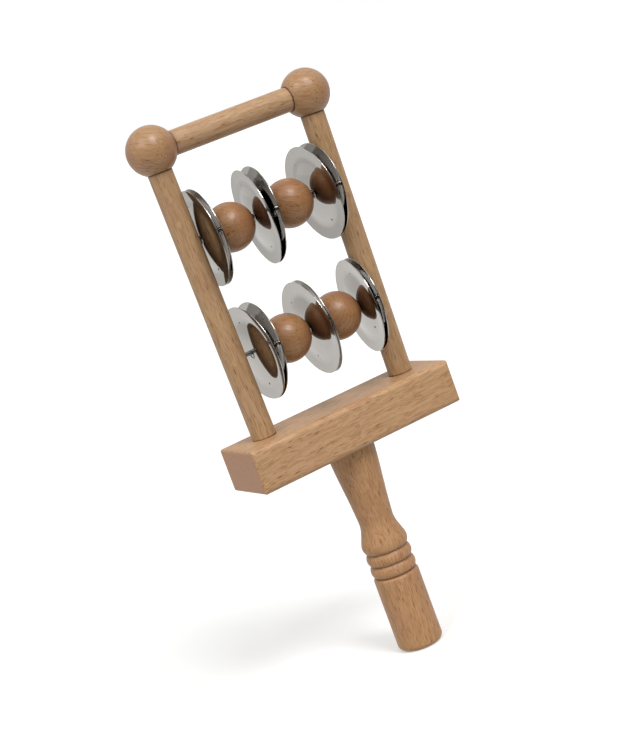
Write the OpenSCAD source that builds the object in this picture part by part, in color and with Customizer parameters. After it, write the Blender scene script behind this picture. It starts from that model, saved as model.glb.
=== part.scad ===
// Jingle stick: a turned handle under a small wooden frame, with two steel rods that carry
// loose wooden beads and pairs of domed jingle plates.
// Origin at the centre of the handle's lower end, +Z up the handle, rods along X, front to -Y.

/* [Handle] */
// Length of the handle from its lower end to the underside of the block
handle_length = 111; // [95:1:140]
// Radius of the plain round grip
grip_r = 12; // [9:0.5:14]
// Radius of the rounded lower edge of the grip
grip_edge_r = 3; // [1:0.25:4]
// Height of the lowest groove above the lower end
grip_length = 41; // [35:1:50]
// Height of the rounded shoulder under the lowest groove
shoulder_length = 2; // [1.8:0.1:3]
// Depth of the three grooves
groove_depth = 1.3; // [0.8:0.1:1.8]
// Distance between two grooves, which is the width of one bead ring
ring_pitch = 6.5; // [5:0.1:8]
// Distance from the top groove up to the widest place of the bulge
bulge_rise = 4; // [3:0.1:6]
// How much larger the bulge's radius is than the grip's
bulge_extra = 0.15; // [0:0.05:0.5]
// Distance from the bulge up to the waist
fall_length = 12.5; // [9:0.5:18]
// How much smaller the waist's radius is than the grip's
waist_depth = 2.9; // [1.5:0.1:4]
// How much larger the radius of the flared top is than the grip's
flare_extra = 0.6; // [0:0.1:2]
// Radius of the round tenon in the block
tenon_r = 7; // [5:0.25:9]
// Length of the tenon
tenon_length = 15; // [8:0.5:18]

/* [Base block] */
// Length of the block along X
block_length = 119; // [108:1:140]
// Depth of the block from front to back
block_depth = 38; // [28:1:50]
// Height of the block
block_height = 23; // [20:0.5:32]
// Radius of the four long edges
block_edge_r = 3; // [1:0.25:4]
// Radius of the edges round the two end faces
block_end_r = 2; // [0.4:0.1:3]

/* [Frame] */
// Diameter of the posts and of the top bar
dowel_d = 12.5; // [10:0.25:14]
// Distance between the two posts at the top of the block
post_spacing = 83.5; // [80:0.5:92]
// Extra distance between the posts at the centres of the corner balls
post_splay = 5.5; // [0:0.5:10]
// Free height between the top bar and the upper plates
upper_space = 16.95; // [10:0.05:40]
// Free height between the upper and the lower plates
middle_space = 11.6; // [3:0.1:30]
// Free height between the lower plates and the block
lower_space = 15.2; // [3:0.1:30]
// Diameter of the corner balls and of the loose beads
ball_d = 25; // [22:0.25:26]
// How far the dowels go into a ball past the line where they enter it
ball_socket = 4; // [2:0.25:5]
// How deep the posts go into the block
post_socket = 14; // [8:0.5:18]
// Space round a glued dowel in its hole
glue_gap = 0.1; // [0.05:0.01:0.2]
// Space past a dowel's end in its blind hole
end_gap = 0.3; // [0.1:0.05:1]

/* [Rods] */
// Diameter of the steel rods
rod_d = 2.3; // [1.6:0.1:2.8]
// How deep each end of a rod sits in its post
rod_socket = 7; // [4:0.5:8]
// Space round a rod in its blind hole
rod_gap = 0.05; // [0.02:0.01:0.1]

/* [Beads] */
// Diameter of the hole through a bead
bead_hole_d = 4; // [3.4:0.1:6]

/* [Jingle plates] */
// Radius of a plate
plate_r = 25; // [20:0.25:26]
// Thickness of the sheet
plate_t = 0.5; // [0.4:0.05:0.8]
// Radius at which the round dome in the middle would meet the rim
dome_r = 17.5; // [12:0.25:18.5]
// Height of the dome above that circle
dome_height = 1.8; // [1.2:0.1:2.2]
// How far the rim's edge stands above that circle, on the dome's side
rim_rise = 0.75; // [0.2:0.05:1]
// Half the width of the soft bend between the dome and the rim
foot_width = 2.5; // [0.5:0.1:4]
// How far the next piece may reach into the hollow side of a plate
plate_nest = 0.5; // [0.2:0.05:0.6]
// Diameter of the hole for the rod
plate_hole_d = 4.5; // [4:0.1:7]
// Least gap between neighbours on a rod as they hang
least_gap = 0.3; // [0.2:0.05:0.4]
// Space between a rod and the hole's edge that hangs on it
hang_gap = 0.1; // [0.05:0.01:0.2]

/* [Hidden] */
// Kinds of piece that follow each other on a rod, from left to right
PLACES = ["left_jingle_outer", "left_jingle_inner", "left_bead", "middle_jingle_left", "middle_jingle_right",
          "right_bead", "right_jingle_inner", "right_jingle_outer"];
$fn = 96;

// Overrun of every cut
over = 1;
// What hangs on a rod sits a little below its axis
plate_drop = (plate_hole_d - rod_d) / 2 - hang_gap;
bead_drop = (bead_hole_d - rod_d) / 2 - hang_gap;

// The middle line of a plate's sheet, as a height over the circle where the dome would meet the rim: an arc's
// parabola in the dome, a straight cone in the rim, and a second parabola that joins their slopes
foot_half = min(foot_width, (plate_r - dome_r) / 2);
foot_in = dome_r - foot_half;
foot_out = dome_r + foot_half;
rim_slope = rim_rise / (plate_r - dome_r);
dome_slope = 2 * dome_height * foot_in / (dome_r * dome_r);
function sheet_h(r) = r >= foot_out ? rim_slope * (r - dome_r)
    : r >= foot_in ? rim_slope * (r - dome_r) + (rim_slope + dome_slope) * pow(foot_out - r, 2) / (4 * foot_half)
    : sheet_h(foot_in) + dome_height * (foot_in * foot_in - r * r) / (dome_r * dome_r);
apex_h = sheet_h(0);
lowest_h = sheet_h(foot_out - 2 * foot_half * rim_slope / (rim_slope + dome_slope));
plate_width = plate_t + apex_h - lowest_h;

// Heights of the rods and of the corner balls' centres above the block
ball_r = ball_d / 2;
dowel_r = dowel_d / 2;
lower_rod_height = lower_space + plate_r + plate_drop;
upper_rod_height = lower_rod_height + middle_space + 2 * plate_r;
ball_height = upper_rod_height - plate_drop + plate_r + upper_space + dowel_r;
block_top = handle_length + block_height;
ball_z = block_top + ball_height;
// Posts lean outwards a little from the block to the balls
post_foot_x = post_spacing / 2;
ball_x = post_foot_x + post_splay / 2;
post_lean = atan((ball_x - post_foot_x) / ball_height);
// Distance from a ball's centre to the line where a dowel enters it, and to the dowel's end
seam = sqrt(ball_r * ball_r - dowel_r * dowel_r);
dowel_end = seam - ball_socket;

// Shares of a rod's spare length that the gaps take, from the left post to the right one. They add up to one.
upper_gap_shares = [0.024, 0.044, 0.026, 0.064, 0.148, 0.236, 0.108, 0.135, 0.215];
lower_gap_shares = [0.351, 0.213, 0.248, 0.007, 0.085, 0.034, 0.007, 0.043, 0.012];
// How far the top and the front of each plate's rim lean to the left, as shares of the same spare length
upper_lean_shares = [[0.075, 0.155], [0.052, 0.151], [0, 0], [0.118, 0.292], [-0.08, 0.184],
                     [0, 0], [0.138, 0.019], [-0.088, -0.008]];
lower_lean_shares = [[0.171, -0.054], [-0.162, -0.022], [0, 0], [0.135, 0.046], [0.095, 0.202],
                     [0, 0], [0.046, 0.368], [-0.041, 0.297]];

function is_bead(i) = i == 2 || i == 5;
// Length that piece number i takes up before the next one; only a post needs the whole width of a plate
function width(i) = is_bead(i) ? ball_d : i == len(PLACES) - 1 ? plate_width : plate_width - plate_nest;
// Distance from the middle to a post's inner side at a height above the block
function clear_half(h) = post_foot_x + h * tan(post_lean) - dowel_r / cos(post_lean);
// Length that is left over on a rod at a height above the block
function spare(h) = 2 * clear_half(h) - 2 * ball_d - 6 * plate_width + 5 * plate_nest - 9 * least_gap;
// Left end of piece number i, counted along the rod from the left post
function left_end(i, h, shares) = i == 0 ? -clear_half(h) + least_gap + shares[0] * spare(h)
    : left_end(i - 1, h, shares) + width(i - 1) + least_gap + shares[i] * spare(h);

// Rounded rectangle in the XY plane, from its four round corners and two bars
module rounded_rectangle(x, y, r) {
    square([x, y - 2 * r], center = true);
    square([x - 2 * r, y], center = true);
    for (sx = [-1, 1], sy = [-1, 1])
        translate([sx * (x / 2 - r), sy * (y / 2 - r)]) circle(r);
}

// Moves its children to the foot of a post, with Z up the post's own axis
module at_post(side) {
    translate([side * post_foot_x, 0, block_top]) rotate([0, side * post_lean, 0]) children();
}

// Blind hole in a ball for the end of a dowel, open towards +Z
module ball_hole() {
    translate([0, 0, dowel_end - end_gap]) cylinder(r = dowel_r + glue_gap, h = ball_r + over + end_gap - dowel_end);
}

// The handle's outline is a list of [radius, height] points, from the grip's lower edge up to the block.
// Radius of the arc that drops by a depth over a run, starting level with the axis
function arc_r(depth, run) = (depth * depth + run * run) / (2 * depth);
// Points on an arc that bulges to a radius at height z, from one distance above z to another, less the first
steps = 12;
function bow(r, z, arc, from, to) =
    [for (i = [1:steps]) let (d = from + (to - from) * i / steps) [r - arc + sqrt(arc * arc - d * d), z + d]];

groove_r = grip_r - groove_depth;
bulge_r = grip_r + bulge_extra;
waist_r = grip_r - waist_depth;
flare_r = grip_r + flare_extra;
top_groove_z = grip_length + 2 * ring_pitch;
bulge_z = top_groove_z + bulge_rise;
waist_z = bulge_z + fall_length;
// How early the bulge falls to the waist, and how much the flare bends at its two ends
fall_share = 0.8;
flare_bend_share = 0.25;

// Rounded lower edge of the grip, and the grip's straight side above it
function edge_points() = concat(
    [for (i = [0:steps]) let (a = 90 * i / steps)
        [grip_r - grip_edge_r * (1 - sin(a)), grip_edge_r * (1 - cos(a))]],
    [[grip_r, grip_length - shoulder_length]]);
function shoulder_points() =
    bow(grip_r, grip_length - shoulder_length, arc_r(groove_depth, shoulder_length), 0, shoulder_length);
function ring_points(n) =
    bow(grip_r, grip_length + (n + 0.5) * ring_pitch, arc_r(groove_depth, ring_pitch / 2),
        -ring_pitch / 2, ring_pitch / 2);
function bulge_points() =
    bow(bulge_r, bulge_z, arc_r(bulge_r - groove_r, bulge_rise), -bulge_rise, 0);
// Smooth step from the bulge in to the waist, level at both ends
function fall_points() =
    [for (i = [1:2 * steps]) let (s = i / (2 * steps), e = pow(s, fall_share))
        [bulge_r + (waist_r - bulge_r) * e * e * (3 - 2 * e), bulge_z + fall_length * s]];
// Straight flare from the waist out to the block, bent a little at both ends
function flare_points() =
    [for (i = [1:2 * steps]) let (s = i / (2 * steps))
        [waist_r + (flare_r - waist_r) * (s - flare_bend_share * sin(360 * s) / (2 * PI)),
         waist_z + (handle_length - waist_z) * s]];

module handle() {
    color("burlywood") union() {
        rotate_extrude() polygon(concat([[0, 0]], edge_points(), shoulder_points(), ring_points(0),
            ring_points(1), bulge_points(), fall_points(), flare_points(), [[0, handle_length]]));
        translate([0, 0, handle_length]) cylinder(r = tenon_r, h = tenon_length);
    }
}

module base_block() {
    color("tan") difference() {
        translate([0, 0, handle_length + block_height / 2]) intersection() {
            rotate([0, 90, 0]) linear_extrude(block_length, center = true)
                rounded_rectangle(block_height, block_depth, block_edge_r);
            linear_extrude(block_height, center = true)
                rounded_rectangle(block_length, block_depth, block_end_r);
            rotate([90, 0, 0]) linear_extrude(block_depth, center = true)
                rounded_rectangle(block_length, block_height, block_end_r);
        }
        translate([0, 0, handle_length - over])
            cylinder(r = tenon_r + glue_gap, h = over + tenon_length + end_gap);
        for (side = [-1, 1]) at_post(side)
            translate([0, 0, -post_socket - end_gap])
                cylinder(r = dowel_r + glue_gap, h = post_socket + end_gap + over);
    }
}

module post(side) {
    color("burlywood") difference() {
        at_post(side) translate([0, 0, -post_socket])
            cylinder(r = dowel_r, h = post_socket + ball_height / cos(post_lean) - dowel_end);
        for (h = [upper_rod_height, lower_rod_height]) rod_hole(side, h);
    }
}

// Blind hole for the end of a rod, from a post's inner side
module rod_hole(side, h) {
    translate([side * (clear_half(h) - over), 0, block_top + h]) rotate([0, side * 90, 0])
        cylinder(r = rod_d / 2 + rod_gap, h = over + rod_socket + end_gap);
}

module ball(side) {
    color("burlywood") translate([side * ball_x, 0, ball_z]) difference() {
        sphere(ball_r);
        rotate([0, 180 + side * post_lean, 0]) ball_hole();
        rotate([0, -side * 90, 0]) ball_hole();
    }
}

module top_bar() {
    color("burlywood") translate([0, 0, ball_z]) rotate([0, 90, 0])
        cylinder(r = dowel_r, h = 2 * (ball_x - dowel_end), center = true);
}

module rod(h) {
    color("silver") translate([0, 0, block_top + h]) rotate([0, 90, 0])
        cylinder(r = rod_d / 2, h = 2 * (clear_half(h) + rod_socket), center = true);
}

module bead(x, h) {
    color("burlywood") translate([x + ball_r, 0, block_top + h - bead_drop]) difference() {
        sphere(ball_r);
        rotate([0, 90, 0]) cylinder(r = bead_hole_d / 2, h = ball_d + 2 * over, center = true);
    }
}

// Cut through one plate: the middle line at radii from the hole to the edge, with half the sheet on each side.
// The dome rises along +Y of the outline.
sheet_steps = 6;
function sheet_radii() = concat(
    [for (i = [0:sheet_steps]) plate_hole_d / 2 + (foot_in - plate_hole_d / 2) * i / sheet_steps],
    [for (i = [1:sheet_steps]) foot_in + 2 * foot_half * i / sheet_steps],
    [plate_r]);
module plate_outline() {
    radii = sheet_radii();
    polygon(concat([for (r = radii) [r, sheet_h(r) - plate_t / 2]],
                   [for (i = [len(radii) - 1:-1:0]) [radii[i], sheet_h(radii[i]) + plate_t / 2]]));
}

// A plate with its dome to the left, whose leftmost point is at x; it hangs by its hole's upper edge
module plate(x, h, lean, turn) {
    color("silver") translate([x + plate_t / 2, 0, block_top + h - plate_drop])
        rotate([0, 0, turn]) rotate([0, -lean, 0]) rotate([0, -90, 0])
            translate([0, 0, -apex_h]) rotate_extrude() plate_outline();
}

// Piece number i of a row
module hung(i, h, gap_shares, lean_shares) {
    x = left_end(i, h, gap_shares);
    if (is_bead(i)) bead(x, h);
    else plate(x, h, asin(lean_shares[i][0] * spare(h) / plate_r), -asin(lean_shares[i][1] * spare(h) / plate_r));
}

module upper(i) {
    hung(i, upper_rod_height, upper_gap_shares, upper_lean_shares);
}

module lower(i) {
    hung(i, lower_rod_height, lower_gap_shares, lower_lean_shares);
}

handle();
base_block();
post(-1);  // left_post
post(1);  // right_post
ball(-1);  // left_ball
ball(1);  // right_ball
top_bar();
rod(upper_rod_height);  // upper_rod
rod(lower_rod_height);  // lower_rod
upper(0);  // upper_left_jingle_outer
upper(1);  // upper_left_jingle_inner
upper(2);  // upper_left_bead
upper(3);  // upper_middle_jingle_left
upper(4);  // upper_middle_jingle_right
upper(5);  // upper_right_bead
upper(6);  // upper_right_jingle_inner
upper(7);  // upper_right_jingle_outer
lower(0);  // lower_left_jingle_outer
lower(1);  // lower_left_jingle_inner
lower(2);  // lower_left_bead
lower(3);  // lower_middle_jingle_left
lower(4);  // lower_middle_jingle_right
lower(5);  // lower_right_bead
lower(6);  // lower_right_jingle_inner
lower(7);  // lower_right_jingle_outer
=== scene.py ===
# Jingle stick: a turned beech handle under a small beech frame. Two steel rods carry loose beech beads
# and twelve domed steel jingle plates. The script follows the object as it is put together.
import math
import bmesh
import bpy
import numpy as np
from mathutils import Matrix, Vector


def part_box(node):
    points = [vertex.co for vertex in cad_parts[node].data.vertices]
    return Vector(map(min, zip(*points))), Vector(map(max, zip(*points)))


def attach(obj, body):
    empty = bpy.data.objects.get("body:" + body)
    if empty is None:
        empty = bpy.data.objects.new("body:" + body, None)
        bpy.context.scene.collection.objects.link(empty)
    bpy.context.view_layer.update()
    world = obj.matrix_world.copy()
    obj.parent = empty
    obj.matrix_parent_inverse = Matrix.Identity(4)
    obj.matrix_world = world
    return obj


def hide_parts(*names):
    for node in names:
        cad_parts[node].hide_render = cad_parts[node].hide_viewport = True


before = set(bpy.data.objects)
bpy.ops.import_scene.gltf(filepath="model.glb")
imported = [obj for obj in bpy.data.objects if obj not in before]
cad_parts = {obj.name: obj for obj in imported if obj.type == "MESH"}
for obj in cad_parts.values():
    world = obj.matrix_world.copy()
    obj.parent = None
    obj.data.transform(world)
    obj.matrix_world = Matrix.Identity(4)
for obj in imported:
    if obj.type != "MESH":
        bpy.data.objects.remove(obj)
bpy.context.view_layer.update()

MM = 0.001

# Camera
# A long lens from the front left and a little above. It is rolled, so the object leans over to the left
# as it does when it is held up by its handle.
CAMERA_AZIMUTH, CAMERA_ELEVATION, CAMERA_ROLL = (math.radians(a) for a in (-25.34, 9.86, 20.18))
CAMERA_AIM = Vector((-0.7, 0, 152.75)) * MM
CAMERA_DISTANCE = 873.89 * MM
LENS_MM, SENSOR_MM = 84.71, 36.0
back = Vector((math.sin(CAMERA_AZIMUTH) * math.cos(CAMERA_ELEVATION),
               -math.cos(CAMERA_AZIMUTH) * math.cos(CAMERA_ELEVATION), math.sin(CAMERA_ELEVATION)))
level_right = (-back).cross(Vector((0, 0, 1))).normalized()
level_up = back.cross(level_right)
view_right = level_right * math.cos(CAMERA_ROLL) - level_up * math.sin(CAMERA_ROLL)
view_up = level_right * math.sin(CAMERA_ROLL) + level_up * math.cos(CAMERA_ROLL)
lens = bpy.data.cameras.new("camera")
lens.lens, lens.sensor_width = LENS_MM, SENSOR_MM
camera = bpy.data.objects.new("camera", lens)
camera.matrix_world = Matrix.Translation(CAMERA_AIM + back * CAMERA_DISTANCE) @ \
    Matrix((view_right, view_up, back)).transposed().to_4x4()
bpy.context.scene.collection.objects.link(camera)
bpy.context.scene.camera = camera
bpy.context.scene.view_settings.view_transform = "Standard"

# Floor, room and lamps
# A sheet of pale paper under the object, in a plain pale room with two soft lamps. Seen straight on, the
# paper and the room are white, and the paper keeps the shadow. The metal sees them a little greyer.
FLOOR_HALF = 12.0
PAPER, PAPER_SHADE, PAPER_DIM = "#e8e8e6", "#e4e4e2", "#bcbcba"
# The paper's painted reflection: its glow near the object and far away
PAPER_NEAR, PAPER_FAR = "#fcfcfa", "#dcdcda"
# A little light of its own brings the paper to white; its fibres are about a millimetre long
PAPER_FILL, PAPER_GRAIN = 0.3, 900.0
# Between these distances in metres the painted reflection of the paper that the metal sees falls off
NEAR_M, FAR_M = 0.4, 2.6
ROOM_LOW, ROOM_HIGH, ROOM_DARK = "#e6e6e4", "#fdfdfc", "#1c1c1d"
# How far up the brighter ceiling is full, as a share of straight up, and the even light of the room
ROOM_TOP, ROOM_LIGHT = 0.9, 0.5
# The room in front of the object is dark. The metal sees it so past these shares of -Y in the direction
# it looks in, and on the paper past these distances in metres
DARK_FROM, DARK_TO = 0.1, 0.5
DARK_NEAR_M, DARK_FAR_M = 0.15, 0.6
# Each lamp: direction from the object to it, strength in W/m2, and how wide it looks in degrees
LAMPS = {"overhead_softbox": ((0.12, -0.645, 0.76), 1.75, 22),
         "left_softbox": ((-0.63, -0.34, 0.69), 0.9, 24)}


def linear(hex_colour, alpha=1.0):
    """An sRGB hex colour as linear light: ((c + 0.055) / 1.055) ** 2.4, or c / 12.92 for the darkest."""
    parts = [int(hex_colour[i:i + 2], 16) / 255 for i in (1, 3, 5)]
    return (*[c / 12.92 if c <= 0.04045 else ((c + 0.055) / 1.055) ** 2.4 for c in parts], alpha)


def add(tree, kind, inputs=None, **settings):
    """Adds a node with its settings, links the inputs that are sockets and fills in the others."""
    node = tree.nodes.new(kind)
    for name, value in settings.items():
        setattr(node, name, value)
    for key, value in (inputs or {}).items():
        if isinstance(value, bpy.types.NodeSocket):
            tree.links.new(value, node.inputs[key])
        else:
            node.inputs[key].default_value = value
    return node


def blank(name):
    """An empty material with that name: its node tree, and the material."""
    material = bpy.data.materials.new(name)
    material.use_nodes = True
    material.node_tree.nodes.clear()
    return material.node_tree, material


# Matt paper. Camera rays see it brightened to white. Rays from the metal see a painted reflection instead:
# the paper glows in a pale grey which falls off with the distance as a lit sheet does.
tree, paper = blank("matt_paper_floor")
ray = add(tree, "ShaderNodeLightPath")
place = add(tree, "ShaderNodeTexCoord")
away = add(tree, "ShaderNodeVectorMath", {0: place.outputs["Object"]}, operation="LENGTH")
far = add(tree, "ShaderNodeMapRange", {"Value": away.outputs["Value"], "From Min": NEAR_M, "From Max": FAR_M},
          interpolation_type="SMOOTHSTEP")
fibre = add(tree, "ShaderNodeTexNoise", {"Vector": place.outputs["Object"], "Scale": PAPER_GRAIN,
                                         "Detail": 4.0})
tone = add(tree, "ShaderNodeMix", {0: fibre.outputs["Fac"], 6: linear(PAPER), 7: linear(PAPER_SHADE)},
           data_type="RGBA")
sheet_lit = add(tree, "ShaderNodeBsdfDiffuse", {"Color": tone.outputs[2]})
sheet_dim = add(tree, "ShaderNodeBsdfDiffuse", {"Color": linear(PAPER_DIM)})
fill = add(tree, "ShaderNodeEmission", {"Color": (1, 1, 1, 1), "Strength": PAPER_FILL})
seen = add(tree, "ShaderNodeAddShader", {0: sheet_lit.outputs[0], 1: fill.outputs[0]})
grey = add(tree, "ShaderNodeMix", {0: far.outputs["Result"], 6: linear(PAPER_NEAR), 7: linear(PAPER_FAR)},
           data_type="RGBA")
direction = add(tree, "ShaderNodeVectorMath", {0: place.outputs["Object"]}, operation="NORMALIZE")
heading = add(tree, "ShaderNodeSeparateXYZ", {0: direction.outputs[0]})
front = add(tree, "ShaderNodeMapRange", {"Value": heading.outputs["Y"], "From Min": -DARK_FROM,
                                         "From Max": -DARK_TO}, interpolation_type="SMOOTHSTEP")
outside = add(tree, "ShaderNodeMapRange", {"Value": away.outputs["Value"], "From Min": DARK_NEAR_M,
                                           "From Max": DARK_FAR_M})
dark = add(tree, "ShaderNodeMath", {0: front.outputs[0], 1: outside.outputs[0]}, operation="MULTIPLY")
shaded = add(tree, "ShaderNodeMix", {0: dark.outputs[0], 6: grey.outputs[2], 7: linear(ROOM_DARK)},
             data_type="RGBA")
# Painted reflection: for rays from the metal the paper glows in a pale grey that falls off with distance as a
# lit sheet does, and turns to the room's dark in front
mirrored = add(tree, "ShaderNodeEmission", {"Color": shaded.outputs[2], "Strength": 1.0})
clear = add(tree, "ShaderNodeMath", {0: ray.outputs["Is Glossy Ray"], 1: ray.outputs["Is Transmission Ray"]},
            operation="MAXIMUM")
first = add(tree, "ShaderNodeMixShader", {0: ray.outputs["Is Camera Ray"], 1: sheet_dim.outputs[0],
                                          2: seen.outputs[0]})
second = add(tree, "ShaderNodeMixShader", {0: clear.outputs[0], 1: first.outputs[0], 2: mirrored.outputs[0]})
add(tree, "ShaderNodeOutputMaterial", {"Surface": second.outputs[0]})
corners = [(-FLOOR_HALF, -FLOOR_HALF, 0), (FLOOR_HALF, -FLOOR_HALF, 0), (FLOOR_HALF, FLOOR_HALF, 0),
           (-FLOOR_HALF, FLOOR_HALF, 0)]
floor_mesh = bpy.data.meshes.new("floor")
floor_mesh.from_pydata(corners, [], [(0, 1, 2, 3)])
floor_mesh.materials.append(paper)
floor = bpy.data.objects.new("floor", floor_mesh)
bpy.context.scene.collection.objects.link(floor)

# The room: white to the camera, pale grey and brighter overhead to the metal, dark behind the camera to it,
# and even soft light to the rest
room = bpy.data.worlds.new("pale_room")
room.use_nodes = True
tree = room.node_tree
tree.nodes.clear()
ray = add(tree, "ShaderNodeLightPath")
place = add(tree, "ShaderNodeTexCoord")
heading = add(tree, "ShaderNodeSeparateXYZ", {0: place.outputs["Generated"]})
high = add(tree, "ShaderNodeMapRange", {"Value": heading.outputs["Z"], "From Min": 0.0, "From Max": ROOM_TOP},
           interpolation_type="SMOOTHSTEP")
walls = add(tree, "ShaderNodeMix", {0: high.outputs["Result"], 6: linear(ROOM_LOW), 7: linear(ROOM_HIGH)},
            data_type="RGBA")
clear = add(tree, "ShaderNodeMath", {0: ray.outputs["Is Glossy Ray"], 1: ray.outputs["Is Transmission Ray"]},
            operation="MAXIMUM")
even = add(tree, "ShaderNodeBackground", {"Color": (1, 1, 1, 1), "Strength": ROOM_LIGHT})
front = add(tree, "ShaderNodeMapRange", {"Value": heading.outputs["Y"], "From Min": -DARK_FROM,
                                         "From Max": -DARK_TO}, interpolation_type="SMOOTHSTEP")
low = add(tree, "ShaderNodeMath", {0: 1.0, 1: high.outputs["Result"]}, operation="SUBTRACT")
dark = add(tree, "ShaderNodeMath", {0: front.outputs[0], 1: low.outputs[0]}, operation="MULTIPLY")
shaded = add(tree, "ShaderNodeMix", {0: dark.outputs[0], 6: walls.outputs[2], 7: linear(ROOM_DARK)},
             data_type="RGBA")
mirrored = add(tree, "ShaderNodeBackground", {"Color": shaded.outputs[2], "Strength": 1.0})
white = add(tree, "ShaderNodeBackground", {"Color": (1, 1, 1, 1), "Strength": 1.0})
first = add(tree, "ShaderNodeMixShader", {0: clear.outputs[0], 1: even.outputs[0], 2: mirrored.outputs[0]})
second = add(tree, "ShaderNodeMixShader", {0: ray.outputs["Is Camera Ray"], 1: first.outputs[0],
                                           2: white.outputs[0]})
add(tree, "ShaderNodeOutputWorld", {"Surface": second.outputs[0]})
bpy.context.scene.world = room
for name, (towards, strength, width) in LAMPS.items():
    lamp = bpy.data.lights.new(name, "SUN")
    lamp.energy, lamp.angle = strength, math.radians(width)
    holder = bpy.data.objects.new(name, lamp)
    holder.rotation_mode = "QUATERNION"
    holder.rotation_quaternion = Vector(towards).to_track_quat("Z", "Y")
    bpy.context.scene.collection.objects.link(holder)

# Handle
# One piece of steamed beech, turned on a lathe with the grain along its axis: a flared top under the block,
# a waist, a bulge, two bead rings between three cut grooves, and a plain grip. A tenon holds it in the block.
HANDLE_LENGTH, HANDLE_MIDDLE = 111.0, 55.0
GRIP_R, GRIP_EDGE_R, GRIP_LENGTH, SHOULDER = 12.0, 3.0, 41.0, 2.0
GROOVE_DEPTH, RING_PITCH = 1.3, 6.5
BULGE_R, BULGE_RISE, WAIST_R, FALL = 12.15, 4.0, 9.1, 12.5
FLARE_R, FALL_SHARE, FLARE_BEND = 12.6, 0.8, 0.25
BULGE_Z = GRIP_LENGTH + 2 * RING_PITCH + BULGE_RISE
WAIST_Z = BULGE_Z + FALL
# How far under the grip's surface the painted shade begins in the grooves, and the most of it
GROOVE_SHADE_FROM, GROOVE_SHADE_MOST = 0.5, 0.6
# Points along each stretch of the outline, and around a turned piece
EDGE_STEPS, GRIP_STEPS, SHOULDER_STEPS, RING_STEPS, BULGE_STEPS, FALL_STEPS = 13, 21, 9, 25, 13, 33
AROUND = 192
# Past this many degrees between two faces, an edge shows as a sharp one
SHARP, SHARP_METAL = 35, 50


def arc(radius, middle, depth, run, start, stop, count):
    """Radius and height along a shallow arc that bulges to radius at a height and drops by depth over run:
    r = radius - b + sqrt(b b - s s) at s from the middle, with b = (depth depth + run run) / (2 depth)."""
    bend = (depth ** 2 + run ** 2) / (2 * depth)
    offset = np.linspace(start, stop, count)
    return np.c_[radius - bend + np.sqrt(bend ** 2 - offset ** 2), middle + offset]


def ring_basis(axis, towards):
    """Three unit rows: towards made square to the axis, the third that completes them, and the axis."""
    axis = np.array(axis, float) / np.linalg.norm(axis)
    first = np.array(towards, float) - axis * np.dot(towards, axis)
    first /= np.linalg.norm(first)
    return np.array([first, np.cross(axis, first), axis])


def turned(profile, angles, basis, origin):
    """A profile of radius and height carried round the basis' third axis: r cos a, r sin a and height."""
    r, h = profile[:, 0, None], profile[:, 1, None]
    local = np.stack([r * np.cos(angles), r * np.sin(angles), h + 0 * angles], -1)
    return local @ basis + origin


def skin(name, grid, looped, material, sharp=SHARP):
    """A mesh piece over a grid of points in millimetres, whose columns go round. Its rows also go round if
    looped, and otherwise the first and last row are closed with a fan to their middle."""
    rows, columns = grid.shape[:2]
    index = np.arange(rows * columns).reshape(rows, columns)
    over = np.roll(index, -1, axis=1)
    low, high = (index, np.roll(index, -1, axis=0)) if looped else (index[:-1], index[1:])
    low_over, high_over = (over, np.roll(over, -1, axis=0)) if looped else (over[:-1], over[1:])
    faces = np.stack([low, low_over, high_over, high], -1).reshape(-1, 4).tolist()
    points = grid.reshape(-1, 3)
    if not looped:
        count = len(points)
        points = np.vstack([points, grid[0].mean(0), grid[-1].mean(0)])
        faces += np.c_[over[0], index[0], np.full(columns, count)].tolist()
        faces += np.c_[index[-1], over[-1], np.full(columns, count + 1)].tolist()
    mesh = bpy.data.meshes.new(name)
    mesh.from_pydata((points * MM).tolist(), [], faces)
    mesh.shade_smooth()
    mesh.set_sharp_from_angle(angle=math.radians(sharp))
    mesh.materials.append(material)
    piece = bpy.data.objects.new(name, mesh)
    bpy.context.scene.collection.objects.link(piece)
    return piece


def paint_shade(piece, rows):
    """Stores, as a point attribute, how strongly painted shade darkens each row of a skin."""
    amount = np.zeros(len(piece.data.vertices))
    columns = len(amount) // len(rows)
    amount[:len(rows) * columns] = np.repeat(rows, columns)
    piece.data.attributes.new("painted_shade", "FLOAT", "POINT").data.foreach_set("value", amount)


# Steamed European beech, planed or turned, sanded and oiled: pale pinkish tan with faint yearly rings, fine
# fibres along the grain, short dark rays like pencil dashes and a pinker, darker end grain. Lengths are in
# millimetres, and each scale is one over the size of the noise's patches.
BEECH_PALE, BEECH_WARM, BEECH_PINK = "#d5ae82", "#c59a6e", "#cb9e7c"
BEECH_RING, BEECH_FIBRE, BEECH_RAY, BEECH_END = "#a9764c", "#96643c", "#754826", "#b98666"
# Colour of the painted shade in the handle's grooves and round the dowels' seams
BEECH_PAINTED_SHADE = "#7d6148"
BEECH_IOR = 1.5
# Yearly rings: their width, how far they wander, and how suddenly the late wood darkens
RING_WIDTH, RING_WANDER, WANDER_SCALE, LATE_POWER = 2.4, 5.0, 0.06, 3.0
# How far the grain sways to the side
SWAY, SWAY_SCALE = 1.3, 0.14
# Fibres: their width and length, drawn coarser than they are so that they show
FIBRE_WIDTH, FIBRE_LENGTH = 0.6, 13.0
# Values of the noise between which a fibre darkens
FIBRE_FROM, FIBRE_TO = 0.42, 0.72
# Rays: the cell that each sits in (out from the pith, across and along), how far it reaches in its cell, and
# how much more than full its middle is, so that it stays dark to near its edge
RAY_CELL = (1.5, 0.72, 6.5)
RAY_LEAST, RAY_SPREAD, RAY_CORE = 0.14, 0.28, 2.0
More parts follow.
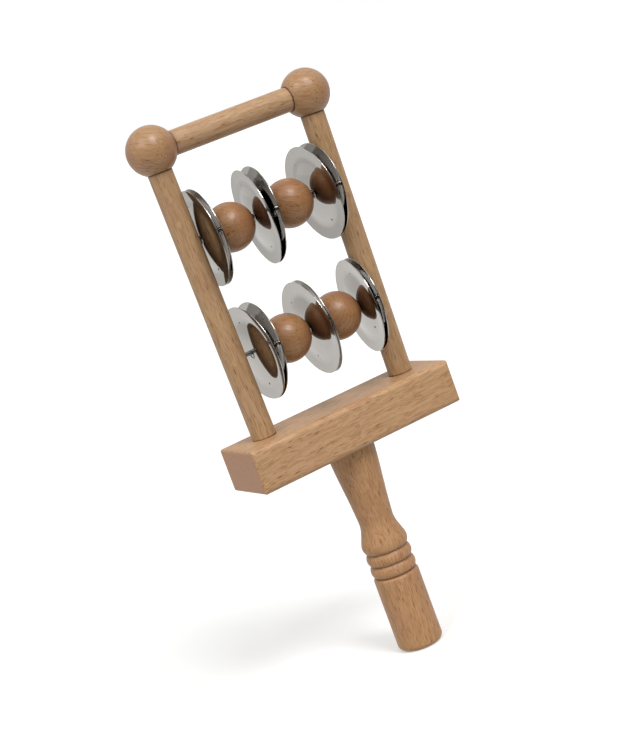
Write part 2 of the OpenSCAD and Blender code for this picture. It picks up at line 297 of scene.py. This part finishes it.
# Slow changes of tone, counted in fibres, and patches of pink
TONE_SCALE = 0.05
BLUSH_SCALE, BLUSH_FROM, BLUSH_TO, BLUSH_MOST = 0.045, 0.35, 0.7, 0.6
# End grain starts and is full where the surface faces along the grain by these shares
END_FROM, END_TO, END_MOST = 0.55, 0.98, 0.8
# How strongly each of these colours the wood at its darkest
RING_SHARE, FIBRE_SHARE, RAY_SHARE = 0.3, 0.6, 0.75
# Rays lie a little under the fibres, in a relief of a few hundredths of a millimetre
RAY_RELIEF, GRAIN_BUMP, GRAIN_DEPTH = -0.3, 0.6, 0.06
# How much smoother and rougher than the rest the fibres are, and the gloss of the lacquer
SMOOTHER, ROUGHER, COAT_ROUGHNESS = 0.06, 0.1, 0.28
# Each seed is a place in the log, this far from the next along the grain
SEED_STEP = 37.0


def beech(name, centre, grain, outward, pith, seed, tint, roughness=0.44, coat=0.0):
    """Beech with its grain along one direction, cut so that the rings' centre lies pith mm away from the
    piece's centre, against the direction outward. All the patterns are solid, so they meet at the edges."""
    tree, material = blank(name)
    basis = ring_basis(grain, outward)
    shift = Vector(basis @ -np.array(centre, float)) + Vector((pith, 0, SEED_STEP * seed))
    rotation = Matrix(basis.tolist()).to_euler("XYZ")
    place = add(tree, "ShaderNodeTexCoord")
    board = add(tree, "ShaderNodeMapping", {"Vector": place.outputs["Object"], "Location": shift,
                                            "Rotation": rotation, "Scale": (1 / MM, 1 / MM, 1 / MM)})
    spot = add(tree, "ShaderNodeSeparateXYZ", {0: board.outputs[0]})
    wander = add(tree, "ShaderNodeTexNoise", {"Vector": board.outputs[0], "Scale": WANDER_SCALE,
                                              "Detail": 2.0})
    flat = add(tree, "ShaderNodeCombineXYZ", {0: spot.outputs["X"], 1: spot.outputs["Y"]})
    out = add(tree, "ShaderNodeVectorMath", {0: flat.outputs[0]}, operation="LENGTH")
    radius = add(tree, "ShaderNodeMath", {0: wander.outputs["Fac"], 1: RING_WANDER, 2: out.outputs["Value"]},
                 operation="MULTIPLY_ADD")
    angle = add(tree, "ShaderNodeMath", {0: spot.outputs["Y"], 1: spot.outputs["X"]}, operation="ARCTAN2")
    across = add(tree, "ShaderNodeMath", {0: angle.outputs[0], 1: float(pith)}, operation="MULTIPLY")
    straight = add(tree, "ShaderNodeCombineXYZ", {0: radius.outputs[0], 1: across.outputs[0],
                                                  2: spot.outputs["Z"]})
    # The grain sways a little on its way
    bends = add(tree, "ShaderNodeTexNoise", {"Vector": board.outputs[0], "Scale": SWAY_SCALE, "Detail": 2.0})
    sway = add(tree, "ShaderNodeVectorMath", {0: bends.outputs["Color"], 1: (SWAY, SWAY, 0)},
               operation="MULTIPLY")
    log = add(tree, "ShaderNodeVectorMath", {0: straight.outputs[0], 1: sway.outputs[0]}, operation="ADD")
    # Yearly rings: each darkens slowly outwards and ends at a thin line
    year = add(tree, "ShaderNodeMath", {0: radius.outputs[0], 1: RING_WIDTH}, operation="DIVIDE")
    part = add(tree, "ShaderNodeMath", {0: year.outputs[0]}, operation="FRACT")
    late = add(tree, "ShaderNodeMath", {0: part.outputs[0], 1: LATE_POWER}, operation="POWER")
    # Fibres, as long thin cells of a noise
    thin = (1 / FIBRE_WIDTH, 1 / FIBRE_WIDTH, 1 / FIBRE_LENGTH)
    drawn = add(tree, "ShaderNodeVectorMath", {0: log.outputs[0], 1: thin}, operation="MULTIPLY")
    fibres = add(tree, "ShaderNodeTexNoise", {"Vector": drawn.outputs[0], "Scale": 1.0, "Detail": 3.0})
    streak = add(tree, "ShaderNodeMapRange", {"Value": fibres.outputs["Fac"], "From Min": FIBRE_FROM,
                                              "From Max": FIBRE_TO})
    # Rays, as thin upright ribbons that point to the centre of the tree, darkest at their middle
    cells = add(tree, "ShaderNodeVectorMath", {0: log.outputs[0], 1: tuple(1 / c for c in RAY_CELL)},
                operation="MULTIPLY")
    ribbon = add(tree, "ShaderNodeTexVoronoi", {"Vector": cells.outputs[0], "Scale": 1.0, "Randomness": 1.0})
    lot = add(tree, "ShaderNodeSeparateColor", {0: ribbon.outputs["Color"]})
    reach = add(tree, "ShaderNodeMath", {0: lot.outputs[0], 1: RAY_SPREAD, 2: RAY_LEAST},
                operation="MULTIPLY_ADD")
    inside = add(tree, "ShaderNodeMapRange", {"Value": ribbon.outputs["Distance"], "From Max": 0.0,
                                              "From Min": reach.outputs[0], "To Max": RAY_CORE})
    strength = add(tree, "ShaderNodeMath", {0: inside.outputs[0], 1: lot.outputs[1]}, operation="MULTIPLY")
    # Slow changes of tone and of pinkness over some centimetres
    slow = add(tree, "ShaderNodeTexNoise", {"Vector": drawn.outputs[0], "Scale": TONE_SCALE, "Detail": 2.0})
    blush = add(tree, "ShaderNodeTexNoise", {"Vector": board.outputs[0], "Scale": BLUSH_SCALE, "Detail": 1.0})
    blushed = add(tree, "ShaderNodeMapRange", {"Value": blush.outputs["Fac"], "From Min": BLUSH_FROM,
                                               "From Max": BLUSH_TO, "To Max": BLUSH_MOST})
    # End grain, where the surface faces along the grain
    normal = add(tree, "ShaderNodeVectorMath", {0: place.outputs["Normal"], 1: tuple(basis[2])},
                 operation="DOT_PRODUCT")
    facing = add(tree, "ShaderNodeMath", {0: normal.outputs["Value"]}, operation="ABSOLUTE")
    end = add(tree, "ShaderNodeMapRange", {"Value": facing.outputs[0], "From Min": END_FROM,
                                           "From Max": END_TO, "To Max": END_MOST})
    colour = add(tree, "ShaderNodeMix", {0: slow.outputs["Fac"], 6: linear(BEECH_PALE),
                                         7: linear(BEECH_WARM)}, data_type="RGBA").outputs[2]
    for layer, hex_colour, share in ((blushed, BEECH_PINK, 1.0), (late, BEECH_RING, RING_SHARE),
                                     (streak, BEECH_FIBRE, FIBRE_SHARE), (end, BEECH_END, 1.0),
                                     (strength, BEECH_RAY, RAY_SHARE)):
        amount = add(tree, "ShaderNodeMath", {0: layer.outputs[0], 1: share}, operation="MULTIPLY",
                     use_clamp=True)
        colour = add(tree, "ShaderNodeMix", {0: amount.outputs[0], 6: colour, 7: linear(hex_colour)},
                     data_type="RGBA").outputs[2]
    # Painted shade: the grooves and the glued seams are darkened where shade falls into them; the mesh
    # carries how much, as a point attribute
    painted_shade = add(tree, "ShaderNodeAttribute", attribute_name="painted_shade")
    for amount, hex_colour in ((1.0, tint), (painted_shade.outputs["Fac"], BEECH_PAINTED_SHADE)):
        colour = add(tree, "ShaderNodeMix", {0: amount, 6: colour, 7: linear(hex_colour)}, data_type="RGBA",
                     blend_type="MULTIPLY").outputs[2]
    relief = add(tree, "ShaderNodeMath", {0: strength.outputs[0], 1: RAY_RELIEF, 2: fibres.outputs["Fac"]},
                 operation="MULTIPLY_ADD")
    bump = add(tree, "ShaderNodeBump", {"Height": relief.outputs[0], "Strength": GRAIN_BUMP,
                                        "Distance": GRAIN_DEPTH * MM})
    sheen = add(tree, "ShaderNodeMapRange", {"Value": fibres.outputs["Fac"], "To Min": roughness - SMOOTHER,
                                             "To Max": roughness + ROUGHER})
    shader = add(tree, "ShaderNodeBsdfPrincipled", {"Base Color": colour, "Roughness": sheen.outputs[0],
                                                    "IOR": BEECH_IOR, "Coat Weight": coat,
                                                    "Coat Roughness": COAT_ROUGHNESS,
                                                    "Normal": bump.outputs[0]})
    add(tree, "ShaderNodeOutputMaterial", {"Surface": shader.outputs[0]})
    return material


quarter = np.linspace(0, np.pi / 2, EDGE_STEPS)
end_edge = np.c_[GRIP_R - GRIP_EDGE_R * (1 - np.sin(quarter)), GRIP_EDGE_R * (1 - np.cos(quarter))]
grip_side = np.c_[np.full(GRIP_STEPS, GRIP_R),
                  np.linspace(GRIP_EDGE_R, GRIP_LENGTH - SHOULDER, GRIP_STEPS)][1:]
shoulder = arc(GRIP_R, GRIP_LENGTH - SHOULDER, GROOVE_DEPTH, SHOULDER, 0, SHOULDER, SHOULDER_STEPS)[1:]
rings = [arc(GRIP_R, GRIP_LENGTH + (n + 0.5) * RING_PITCH, GROOVE_DEPTH, RING_PITCH / 2, -RING_PITCH / 2,
             RING_PITCH / 2, RING_STEPS)[1:] for n in (0, 1)]
bulge = arc(BULGE_R, BULGE_Z, BULGE_R - GRIP_R + GROOVE_DEPTH, BULGE_RISE, -BULGE_RISE, 0, BULGE_STEPS)[1:]
# From bulge to waist the radius follows 3 e e - 2 e e e with e = s ** FALL_SHARE, and the flare above it
# s - FLARE_BEND sin(2 pi s) / (2 pi), for s from 0 to 1 over the height
s = np.linspace(0, 1, FALL_STEPS)[1:]
early = s ** FALL_SHARE
fall = np.c_[BULGE_R + (WAIST_R - BULGE_R) * early ** 2 * (3 - 2 * early), BULGE_Z + FALL * s]
flare = np.c_[WAIST_R + (FLARE_R - WAIST_R) * (s - FLARE_BEND * np.sin(2 * np.pi * s) / (2 * np.pi)),
              WAIST_Z + (HANDLE_LENGTH - WAIST_Z) * s]
outline = np.vstack([end_edge, grip_side, shoulder, *rings, bulge, fall, flare])
round_angles = np.linspace(0, 2 * np.pi, AROUND, endpoint=False)
handle_wood = beech("turned_beech_handle", (0, 0, HANDLE_MIDDLE), grain=(0.02, 0.03, 1),
                    outward=(-0.5, -1, 0), pith=70, seed=1, tint="#e4dbcc")
handle = skin("turned_handle", turned(outline, round_angles, ring_basis((0, 0, 1), (1, 0, 0)), 0), False,
              handle_wood)
# Painted shade: the grooves darken by how far the surface lies under the grip's radius, between the grip's
# end and the bulge
cut = (outline[:, 1] > GRIP_EDGE_R) & (outline[:, 1] < BULGE_Z)
paint_shade(handle, np.clip((GRIP_R - GROOVE_SHADE_FROM - outline[:, 0]) / GROOVE_DEPTH, 0, GROOVE_SHADE_MOST) * cut)
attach(handle, "frame")
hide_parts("handle")

# Base block
# A planed bar of beech with its grain along X, its long edges eased with a router and its ends sawn and
# sanded. The posts and the handle's tenon are glued into blind holes. The solid's own mesh stays.
BLOCK_HEIGHT = 23.0
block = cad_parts["base_block"]
block.data.materials.clear()
block.data.materials.append(beech("planed_beech_block", (0, 0, HANDLE_LENGTH + BLOCK_HEIGHT / 2),
                                  grain=(1, 0.01, 0.05), outward=(0, -0.8, 0.6), pith=90, seed=2,
                                  tint="#efefec", roughness=0.46))

# Posts and top bar
# Three beech dowels, shaved round along the grain, sanded and oiled. Their ends are glued into the block and
# into the corner balls, and painted shade darkens a thin band round each seam.
DOWEL_R, DOWEL_CHAMFER = 6.25, 0.6
BLOCK_TOP = HANDLE_LENGTH + BLOCK_HEIGHT
POST_FOOT_X, BALL_X, BALL_RISE = 41.75, 44.5, 150.0
BALL_Z = BLOCK_TOP + BALL_RISE
BALL_R = 12.5
# How deep the dowels go into the balls and the posts into the block
BALL_SOCKET, POST_SOCKET, POST_MIDDLE = 4.0, 14.0, 70.0
# From a ball's centre: where a dowel leaves it, and where the dowel ends inside
SEAM = math.sqrt(BALL_R ** 2 - DOWEL_R ** 2)
DOWEL_END = SEAM - BALL_SOCKET
# How far to both sides of a seam its painted shade reaches, and the points there and along a dowel
SEAM_REACH, SEAM_STEPS, DOWEL_STEPS = 0.8, 9, 40


def dowel(name, start, stop, seams, material):
    """A round bar from one point to another with a small flat chamfer at each end. Its surface carries
    painted shade where it enters another piece, at the distances seams from the start."""
    start, stop = np.array(start, float), np.array(stop, float)
    length = np.linalg.norm(stop - start)
    close = [seam + SEAM_REACH * np.linspace(-1, 1, SEAM_STEPS) for seam in seams]
    heights = np.unique(np.r_[np.linspace(DOWEL_CHAMFER, length - DOWEL_CHAMFER, DOWEL_STEPS), *close])
    profile = np.vstack([[[DOWEL_R - DOWEL_CHAMFER, 0]], np.c_[np.full(len(heights), DOWEL_R), heights],
                         [[DOWEL_R - DOWEL_CHAMFER, length]]])
    basis = ring_basis(stop - start, (0, -1, 0))
    bar = skin(name, turned(profile, round_angles[::2], basis, start), False, material)
    # Painted shade: each seam darkens the dowel most at the seam and fades out over SEAM_REACH to both sides
    nearest = np.abs(profile[:, 1, None] - np.array(seams)).min(1)
    paint_shade(bar, np.clip(1 - nearest / SEAM_REACH, 0, 1))
    return bar


for side, name in ((-1, "left_post"), (1, "right_post")):
    foot = np.array([side * POST_FOOT_X, 0, BLOCK_TOP])
    ball = np.array([side * BALL_X, 0, BALL_Z])
    along = (ball - foot) / np.linalg.norm(ball - foot)
    wood = beech("beech_dowel_" + name, foot + along * POST_MIDDLE, grain=along + [0.01 * side, 0.03, 0],
                 outward=(side * 0.6, -1, 0), pith=60 + 5 * side, seed=4 + side, tint="#e3e6e4")
    post = dowel("beech_" + name, foot - along * POST_SOCKET, ball - along * DOWEL_END,
                 (POST_SOCKET, POST_SOCKET + BALL_RISE / along[2] - SEAM), wood)
    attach(post, "frame")
    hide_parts(name)
bar_end = BALL_X - DOWEL_END
bar_wood = beech("beech_dowel_top_bar", (0, 0, BALL_Z), grain=(1, 0.03, -0.02), outward=(0, -1, 0.7), pith=75,
                 seed=7, tint="#e5e7ea")
top_bar = dowel("beech_top_bar", (-bar_end, 0, BALL_Z), (bar_end, 0, BALL_Z),
                (SEAM - DOWEL_END, 2 * bar_end - SEAM + DOWEL_END), bar_wood)
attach(top_bar, "frame")
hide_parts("top_bar")

# Corner balls
# Turned beech balls with two drilled sockets each, tumbled in clear lacquer, so they are glossier than the
# rest. The rim of each socket is eased and leaves a thin dark seam round the dowel.
GLUE_GAP, SOCKET_EASE, SOCKET_BOTTOM, SOCKET_TIP_R = 0.1, 0.3, 0.3, 0.4
SOCKET_R = DOWEL_R + GLUE_GAP
# Points over the eased rim, up the wall and along the sphere, which stand closer near the rim by this power
EASE_STEPS, WALL_STEPS, SPHERE_STEPS, SPHERE_POWER = 7, 4, 41, 1.3
# Points of the two halves that lie this close are one
MERGE = 0.002
LACQUER_ROUGHNESS, LACQUER_COAT = 0.42, 0.2


def socket_half(axis, other):
    """Half of a ball with two sockets: polar rings round one socket's axis, from the socket's bottom up its
    wall, over the eased rim and along the sphere to the plane midway between the axes, where the polar
    angle is atan2(1 - cos g, cos a sin g) at azimuth a for axes an angle g apart."""
    basis = ring_basis(axis, other)
    gap = math.acos(np.dot(basis[2], np.array(other) / np.linalg.norm(other)))
    border = np.arctan2(1 - math.cos(gap), np.cos(round_angles) * math.sin(gap))
    rim = math.asin((SOCKET_R + SOCKET_EASE) / BALL_R)
    depth = BALL_R * math.cos(rim)
    bottom = DOWEL_END - SOCKET_BOTTOM
    bend = np.linspace(0, 1, EASE_STEPS)[1:-1]
    wall_r = np.r_[SOCKET_TIP_R, np.full(WALL_STEPS, SOCKET_R), SOCKET_R + SOCKET_EASE * bend ** 2]
    wall_h = np.r_[bottom, np.linspace(bottom, depth - SOCKET_EASE, WALL_STEPS),
                   depth - SOCKET_EASE * (1 - bend) ** 2]
    polar = rim + (border - rim) * np.linspace(0, 1, SPHERE_STEPS)[:, None] ** SPHERE_POWER
    sphere = BALL_R * np.stack([np.sin(polar) * np.cos(round_angles), np.sin(polar) * np.sin(round_angles),
                                np.cos(polar)], -1)
    wall = np.stack([wall_r[:, None] * np.cos(round_angles), wall_r[:, None] * np.sin(round_angles),
                     np.repeat(wall_h[:, None], AROUND, 1)], -1)
    return np.concatenate([wall, sphere]) @ basis


for side, name in ((-1, "left_ball"), (1, "right_ball")):
    centre = np.array([side * BALL_X, 0, BALL_Z])
    down = np.array([side * (POST_FOOT_X - BALL_X), 0, BLOCK_TOP - BALL_Z])
    inward = np.array([-side, 0, 0])
    halves = [socket_half(a, b) + centre for a, b in ((down, inward), (inward, down))]
    rows = len(halves[0])
    index = np.arange(rows * AROUND).reshape(rows, AROUND)
    quads = np.stack([index[:-1], index[1:], np.roll(index[1:], -1, 1), np.roll(index[:-1], -1, 1)], -1)
    quads = quads.reshape(-1, 4)
    # A fan closes each socket's bottom. Its middle comes after all the points of both halves
    count = 2 * rows * AROUND
    fan = np.c_[index[0], np.roll(index[0], -1), np.full(AROUND, count)]
    faces = quads.tolist() + (quads + rows * AROUND).tolist() + fan.tolist()
    faces += (fan + [rows * AROUND, rows * AROUND, 1]).tolist()
    points = np.vstack([halves[0].reshape(-1, 3), halves[1].reshape(-1, 3), halves[0][0].mean(0),
                        halves[1][0].mean(0)])
    mesh = bpy.data.meshes.new("beech_" + name)
    mesh.from_pydata((points * MM).tolist(), [], faces)
    merged = bmesh.new()
    merged.from_mesh(mesh)
    bmesh.ops.remove_doubles(merged, verts=merged.verts, dist=MERGE * MM)
    bmesh.ops.recalc_face_normals(merged, faces=merged.faces)
    merged.to_mesh(mesh)
    merged.free()
    mesh.shade_smooth()
    mesh.set_sharp_from_angle(angle=math.radians(SHARP))
    mesh.materials.append(beech("lacquered_beech_" + name, centre, grain=(0.8, -0.5, -0.25),
                                outward=(0.35, 0.1, 0.95), pith=45, seed=9 + side, tint="#dcd6ce",
                                roughness=LACQUER_ROUGHNESS, coat=LACQUER_COAT))
    corner = bpy.data.objects.new("beech_" + name, mesh)
    bpy.context.scene.collection.objects.link(corner)
    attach(corner, "frame")
    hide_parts(name)

# Rods
# Two straight rods of bright drawn steel, pressed into blind holes in the posts. Drawing leaves fine
# lines along them, a quarter of a millimetre wide.
ROD_R, ROD_CHAMFER, ROD_SOCKET, ROD_STEPS = 1.15, 0.2, 7.0, 30
ROD_RISE = {"upper": 102.8, "lower": 41.2}
LINES_ALONG, LINES_ACROSS = 20.0, 4000.0
ROD_DARK, ROD_LIGHT = "#8e8d8b", "#b4b2af"
ROD_SMOOTH, ROD_ROUGH, ROD_BUMP, ROD_LINE_DEPTH = 0.14, 0.3, 0.2, 0.01
tree, drawn_steel = blank("bright_drawn_steel")
place = add(tree, "ShaderNodeTexCoord")
stretch = add(tree, "ShaderNodeMapping", {"Vector": place.outputs["Object"],
                                          "Scale": (LINES_ALONG, LINES_ACROSS, LINES_ACROSS)})
lines = add(tree, "ShaderNodeTexNoise", {"Vector": stretch.outputs[0], "Scale": 1.0, "Detail": 2.0})
tone = add(tree, "ShaderNodeMix", {0: lines.outputs["Fac"], 6: linear(ROD_DARK), 7: linear(ROD_LIGHT)},
           data_type="RGBA")
dull = add(tree, "ShaderNodeMapRange", {"Value": lines.outputs["Fac"], "To Min": ROD_SMOOTH,
                                        "To Max": ROD_ROUGH})
bump = add(tree, "ShaderNodeBump", {"Height": lines.outputs["Fac"], "Strength": ROD_BUMP,
                                    "Distance": ROD_LINE_DEPTH * MM})
shader = add(tree, "ShaderNodeBsdfPrincipled", {"Base Color": tone.outputs[2], "Metallic": 1.0,
                                                "Roughness": dull.outputs[0], "Normal": bump.outputs[0]})
add(tree, "ShaderNodeOutputMaterial", {"Surface": shader.outputs[0]})
lean = math.atan((BALL_X - POST_FOOT_X) / BALL_RISE)
for row, rise in ROD_RISE.items():
    rod_half = POST_FOOT_X + rise * math.tan(lean) - DOWEL_R / math.cos(lean) + ROD_SOCKET
    heights = np.linspace(ROD_CHAMFER, 2 * rod_half - ROD_CHAMFER, ROD_STEPS)
    profile = np.vstack([[[ROD_R - ROD_CHAMFER, 0]], np.c_[np.full(ROD_STEPS, ROD_R), heights],
                         [[ROD_R - ROD_CHAMFER, 2 * rod_half]]])
    grid = turned(profile, round_angles[::3], ring_basis((1, 0, 0), (0, -1, 0)),
                  np.array([-rod_half, 0, BLOCK_TOP + rise]))
    rod = skin("steel_" + row + "_rod", grid, False, drawn_steel)
    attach(rod, "frame")
    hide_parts(row + "_rod")

# Beads
# Four loose beech beads, the same balls as at the corners but drilled right through for the rod, with the
# hole's edges eased.
BEAD_HOLE_R, BEAD_EASE = 2.0, 0.4
BEAD_STEPS, HOLE_STEPS = 97, 9
# Each bead: how its grain lies and which way the rings bulge
BEAD_GRAIN = {
    "upper_left_bead": ((0.7, -0.6, 0.1), (0.3, 0.2, 0.9)),
    "upper_right_bead": ((0.85, -0.3, -0.4), (0.2, -0.4, 0.8)),
    "lower_left_bead": ((0.8, -0.5, -0.33), (0.37, -0.3, 0.93)),
    "lower_right_bead": ((0.6, -0.3, 0.6), (-0.6, -0.5, 0.5))}
flat_h = math.sqrt(BALL_R ** 2 - (BEAD_HOLE_R + BEAD_EASE) ** 2)
ease = np.linspace(0, 1, EASE_STEPS)[1:-1]
rim = math.asin((BEAD_HOLE_R + BEAD_EASE) / BALL_R)
polar = np.linspace(rim, math.pi - rim, BEAD_STEPS)
eased = np.c_[BEAD_HOLE_R + BEAD_EASE * (1 - ease) ** 2, flat_h - BEAD_EASE * ease ** 2]
bore = np.c_[np.full(HOLE_STEPS, BEAD_HOLE_R),
             np.linspace(flat_h - BEAD_EASE, BEAD_EASE - flat_h, HOLE_STEPS)]
bead_profile = np.vstack([BALL_R * np.c_[np.sin(polar), -np.cos(polar)], eased, bore, eased[::-1] * [1, -1]])
for number, (name, (grain, outward)) in enumerate(BEAD_GRAIN.items()):
    low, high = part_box(name)
    centre = np.array((low + high) / 2) / MM
    wood = beech("lacquered_beech_" + name, centre, grain, outward, pith=40, seed=12 + number, tint="#cdbca6",
                 roughness=LACQUER_ROUGHNESS, coat=LACQUER_COAT)
    grid = turned(bead_profile, round_angles, ring_basis((1, 0, 0), (0, -1, 0)), centre)
    bead = skin("beech_" + name, grid, True, wood)
    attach(bead, name)
    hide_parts(name)

# Jingle plates
# Twelve discs stamped from thin sheet steel: a round dome in the middle inside a rim that flares a little
# towards the dome's side, a punched hole for the rod and two tiny centre marks. They are polished and nickel
# plated to a mirror.
PLATE_R, PLATE_T, PLATE_HOLE_R = 25.0, 0.5, 2.25
DOME_R, DOME_HEIGHT, RIM_RISE, FOOT_HALF = 17.5, 1.8, 0.75, 2.5
EDGE_ROUND, HOLE_ROUND, CURL_STEPS, HOLLOW_STEPS = 0.2, 0.08, 7, 400
DIMPLE_R, DIMPLE_DEPTH, DIMPLE_POWER = 0.7, 0.35, 1.5
# Radii along a face: few over the dome, many where the marks are, few over the rim
DOME_RADII, MARK_RADII, RIM_RADII = (2.8, 14.2, 14), (14.5, 21.3, 60), (21.7, PLATE_R - EDGE_ROUND, 9)
# Degrees between columns, and beside a mark, as far as MARK_SPAN to both sides of it
COLUMN, MARK_COLUMN, MARK_SPAN = 2.5, 0.25, 2.5
# Each plate: radius and angle of its two centre marks, counted from the front towards the top
DIMPLES = {
    "upper_left_jingle_outer": ((17.0, 100), (16.6, 283)),
    "upper_left_jingle_inner": ((16.8, 80), (17.1, 262)),
    "upper_middle_jingle_left": ((17.2, 100), (16.4, 284)),
    "upper_middle_jingle_right": ((16.6, 60), (17.0, 240)),
    "upper_right_jingle_inner": ((17.9, 117), (16.2, 292)),
    "upper_right_jingle_outer": ((17.0, 75), (16.8, 255)),
    "lower_left_jingle_outer": ((16.6, 96), (16.9, 276)),
    "lower_left_jingle_inner": ((20.6, 50), (17.0, 232)),
    "lower_middle_jingle_left": ((17.3, 126), (16.1, 252)),
    "lower_middle_jingle_right": ((16.9, 70), (17.2, 250)),
    "lower_right_jingle_inner": ((17.5, 83), (15.1, 312)),
    "lower_right_jingle_outer": ((16.9, 152), (17.0, 331))}


def sheet(r):
    """Height of the sheet's middle above the circle where dome and rim would meet at radius R. The rim is the
    cone c (r - R), the dome the bowl H (1 - r r / (R R)), and between R - w and R + w a parabola with the
    second derivative (c + d) / (2 w) joins their slopes, where d is the bowl's slope at R - w."""
    inner, outer = DOME_R - FOOT_HALF, DOME_R + FOOT_HALF
    cone = RIM_RISE / (PLATE_R - DOME_R)
    bend = (cone + 2 * DOME_HEIGHT * inner / DOME_R ** 2) / (4 * FOOT_HALF)
    low = np.minimum(r, inner)
    beyond = np.maximum(r, inner)
    return (cone * (beyond - DOME_R) + bend * np.clip(outer - beyond, 0, None) ** 2
            + DOME_HEIGHT * (inner ** 2 - low ** 2) / DOME_R ** 2)


# Mirror nickel on polished steel: neutral, slightly warm, with a faint haze of fine scratches and the slow
# waves of stamped sheet
NICKEL_DARK, NICKEL_LIGHT = "#b0aca8", "#b9b5b1"
NICKEL_SMOOTH, NICKEL_ROUGH = 0.03, 0.09
HAZE_SCALE, WAVE_SCALE, WAVE_BUMP, WAVE_DEPTH = 160.0, 120.0, 0.12, 0.02
tree, plated = blank("nickel_plated_polished_steel")
place = add(tree, "ShaderNodeTexCoord")
haze = add(tree, "ShaderNodeTexNoise", {"Vector": place.outputs["Object"], "Scale": HAZE_SCALE,
                                        "Detail": 4.0})
tone = add(tree, "ShaderNodeMix", {0: haze.outputs["Fac"], 6: linear(NICKEL_DARK), 7: linear(NICKEL_LIGHT)},
           data_type="RGBA")
dull = add(tree, "ShaderNodeMapRange", {"Value": haze.outputs["Fac"], "To Min": NICKEL_SMOOTH,
                                        "To Max": NICKEL_ROUGH})
wave = add(tree, "ShaderNodeTexNoise", {"Vector": place.outputs["Object"], "Scale": WAVE_SCALE,
                                        "Detail": 1.0})
bump = add(tree, "ShaderNodeBump", {"Height": wave.outputs["Fac"], "Strength": WAVE_BUMP,
                                    "Distance": WAVE_DEPTH * MM})
shader = add(tree, "ShaderNodeBsdfPrincipled", {"Base Color": tone.outputs[2], "Metallic": 1.0,
                                                "Roughness": dull.outputs[0], "Normal": bump.outputs[0]})
add(tree, "ShaderNodeOutputMaterial", {"Surface": shader.outputs[0]})

# Radius and height off the sheet's middle: out along the lower face, round the edge, back and down the hole
half_sheet = PLATE_T / 2
face_r = np.unique(np.r_[PLATE_HOLE_R + HOLE_ROUND, np.linspace(*DOME_RADII), np.linspace(*MARK_RADII),
                         np.linspace(*RIM_RADII)])
lower = np.c_[face_r, np.full(len(face_r), -half_sheet)]
curl = np.linspace(0, np.pi / 2, CURL_STEPS)
low_curl = np.c_[PLATE_R - EDGE_ROUND * (1 - np.sin(curl)), EDGE_ROUND * (1 - np.cos(curl)) - half_sheet]
high_curl = np.c_[PLATE_R - EDGE_ROUND * (1 - np.cos(curl)), half_sheet - EDGE_ROUND * (1 - np.sin(curl))]
hole = [[PLATE_HOLE_R, half_sheet - HOLE_ROUND], [PLATE_HOLE_R, HOLE_ROUND - half_sheet]]
profile = np.vstack([lower, low_curl[1:], high_curl[:-1], lower[::-1] * [1, -1], hole])
profile[:, 1] += sheet(profile[:, 0])
hollow = sheet(np.linspace(DOME_R, PLATE_R, HOLLOW_STEPS)).min()
for name, marks in DIMPLES.items():
    # The plate's place comes from the solid's own points: their middle, and the direction in which they
    # spread least, which is the plate's axis. The lowest circle of the hollow side lies furthest along it
    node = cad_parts[name]
    co = np.zeros(len(node.data.vertices) * 3)
    node.data.vertices.foreach_get("co", co)
    co = np.unique((co.reshape(-1, 3) / MM).round(3), axis=0)
    middle = co.mean(0)
    axis = np.linalg.svd(co - middle, full_matrices=False)[2][2]
    axis *= np.sign(axis[0])
    centre = middle + axis * (((co - middle) @ axis).max() - half_sheet + hollow)
    basis = ring_basis(-axis, (0, -1, 0))
    fine = [phi + np.arange(-MARK_SPAN, MARK_SPAN + MARK_COLUMN / 2, MARK_COLUMN) for _, phi in marks]
    angles = np.radians(np.unique(np.r_[np.arange(0, 360, COLUMN), *fine].round(3) % 360))
    grid = turned(profile, angles, basis, 0)
    flat = (grid @ basis.T)[..., :2]
    # Each mark sinks by DIMPLE_DEPTH (1 - d d / (R R)) ** DIMPLE_POWER at a distance d from its centre
    for at, phi in marks:
        spot = at * np.array([math.cos(math.radians(phi)), math.sin(math.radians(phi))])
        reach = np.clip(1 - ((flat - spot) ** 2).sum(-1) / DIMPLE_R ** 2, 0, 1)
        grid -= DIMPLE_DEPTH * (reach ** DIMPLE_POWER)[..., None] * basis[2]
    plate = skin("steel_" + name, grid + centre, True, plated, sharp=SHARP_METAL)
    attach(plate, name)
    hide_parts(name)
